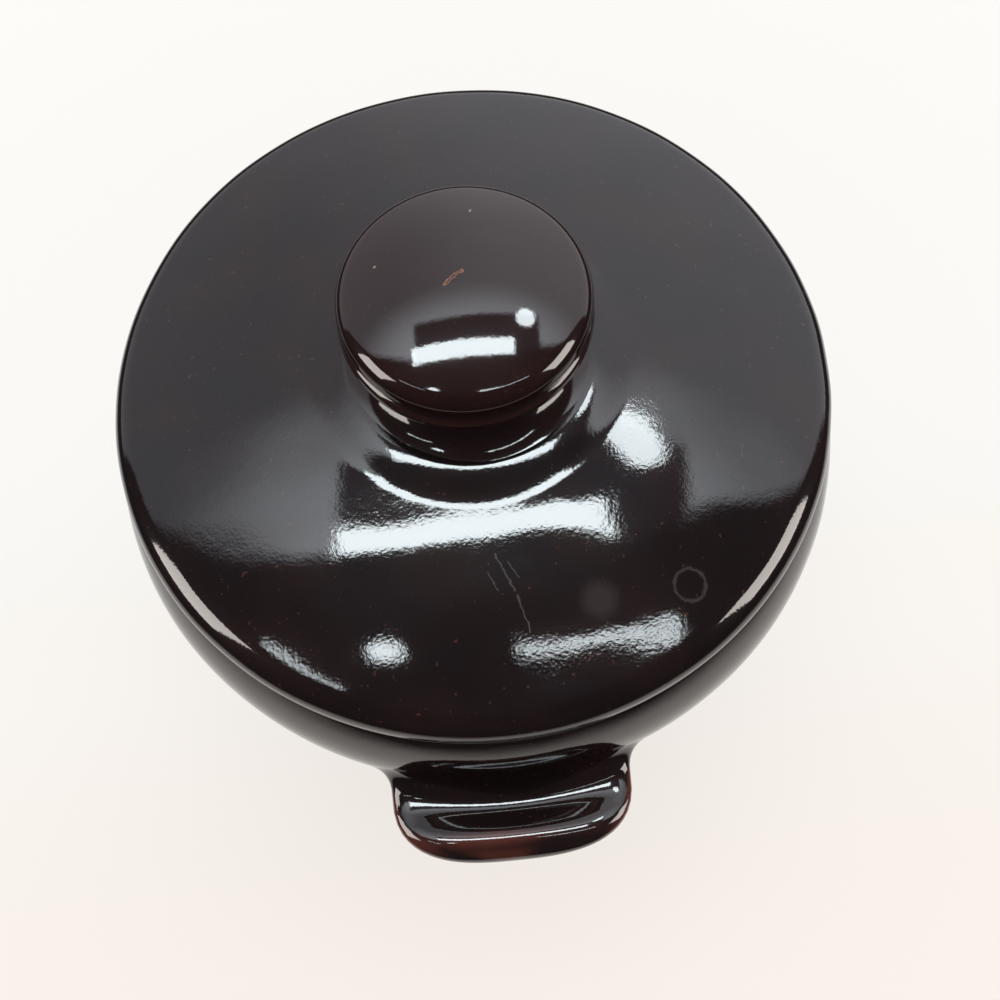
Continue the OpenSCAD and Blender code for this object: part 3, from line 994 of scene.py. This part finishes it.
def ceiling_colour(g, split):
    """The ceiling with its bright middle and the hood."""
    high = g.math("MAXIMUM", split["Z"], LOWEST_Z)
    across = g.math("DIVIDE", split["X"], high)
    along = g.math("DIVIDE", split["Y"], high)
    colour = g.mix(g.span(split["X"], *CEILING_STEP), CEILING_LEFT, CEILING_RIGHT)
    narrow = g.math("MULTIPLY", across, OVERHEAD_NARROW)
    place = g.add("ShaderNodeCombineXYZ", {0: narrow, 1: along}).outputs[0]
    colour = g.mix(g.span(g.vector("LENGTH", place), *OVERHEAD_STEP), OVERHEAD_GLOW, colour)
    hood = g.math("MULTIPLY", between(g, across, *HOOD_ACROSS), between(g, along, *HOOD_ALONG))
    return g.mix(hood, colour, HOOD_DARK)


def past_edge(g, split):
    """How far a direction is past the ceiling's edge, which bends back at both sides."""
    past = split["Y"]
    for slope in ROOM_SLOPES:
        aside = g.math("SUBTRACT", g.math("MULTIPLY", split["X"], slope), abs(slope) * ROOM_BEND)
        past = g.math("SUBTRACT", past, g.math("MAXIMUM", aside, 0.0))
    return past


def build_world():
    """The room that the glaze mirrors, and a white backdrop for the camera."""
    world = bpy.data.worlds.new("room")
    scene.world = world
    g = Graph(world)
    split = g.split(g.add("ShaderNodeTexCoord").outputs["Generated"])
    colour = g.mix(g.span(past_edge(g, split), *ROOM_STEP), ceiling_colour(g, split), ROOM_DARK)
    room = g.add("ShaderNodeBackground", {"Color": colour, "Strength": 1.0})
    white = g.add("ShaderNodeBackground", {"Color": BACKDROP, "Strength": 1.0})
    seen = g.add("ShaderNodeLightPath").outputs["Is Camera Ray"]
    shader = g.add("ShaderNodeMixShader", {0: seen, 1: room.outputs[0], 2: white.outputs[0]})
    g.surface("ShaderNodeOutputWorld", shader)


build_world()

# ---- Camera: it stands close over the front of the lid, as in the photograph ----
CAMERA_AWAY = 0.22217
CAMERA_HEIGHT_ANGLE = 62.93
CAMERA_YAW = -0.963
CAMERA_PITCH = -7.509
CAMERA_ROLL = 5.477
CAMERA_LENS = 34.2
CAMERA_SENSOR = 36
CAMERA_CLIP = 0.01
CAMERA_TARGET = Vector((0, 0, 0.12))


def build_camera():
    """Aims the camera at the target from in front, then turns it by its yaw, pitch and roll."""
    rise = math.radians(CAMERA_HEIGHT_ANGLE)
    offset = Vector((0, -math.cos(rise), math.sin(rise))) * CAMERA_AWAY
    forward = -offset.normalized()
    right = Vector((1, 0, 0))
    up = right.cross(forward)
    yaw = Matrix.Rotation(math.radians(CAMERA_YAW), 3, up)
    forward, right = yaw @ forward, yaw @ right
    pitch = Matrix.Rotation(math.radians(CAMERA_PITCH), 3, right)
    forward, up = pitch @ forward, pitch @ up
    roll = Matrix.Rotation(math.radians(CAMERA_ROLL), 3, forward)
    right, up = roll @ right, roll @ up
    data = bpy.data.cameras.new("camera")
    data.lens = CAMERA_LENS
    data.sensor_width = CAMERA_SENSOR
    data.clip_start = CAMERA_CLIP
    camera = bpy.data.objects.new("camera", data)
    turned = Matrix((right, up, -forward)).transposed().to_4x4()
    camera.matrix_world = Matrix.Translation(CAMERA_TARGET + offset) @ turned
    scene.collection.objects.link(camera)
    scene.camera = camera


build_camera()
scene.view_settings.view_transform = "Standard"

bpy.context.view_layer.update()
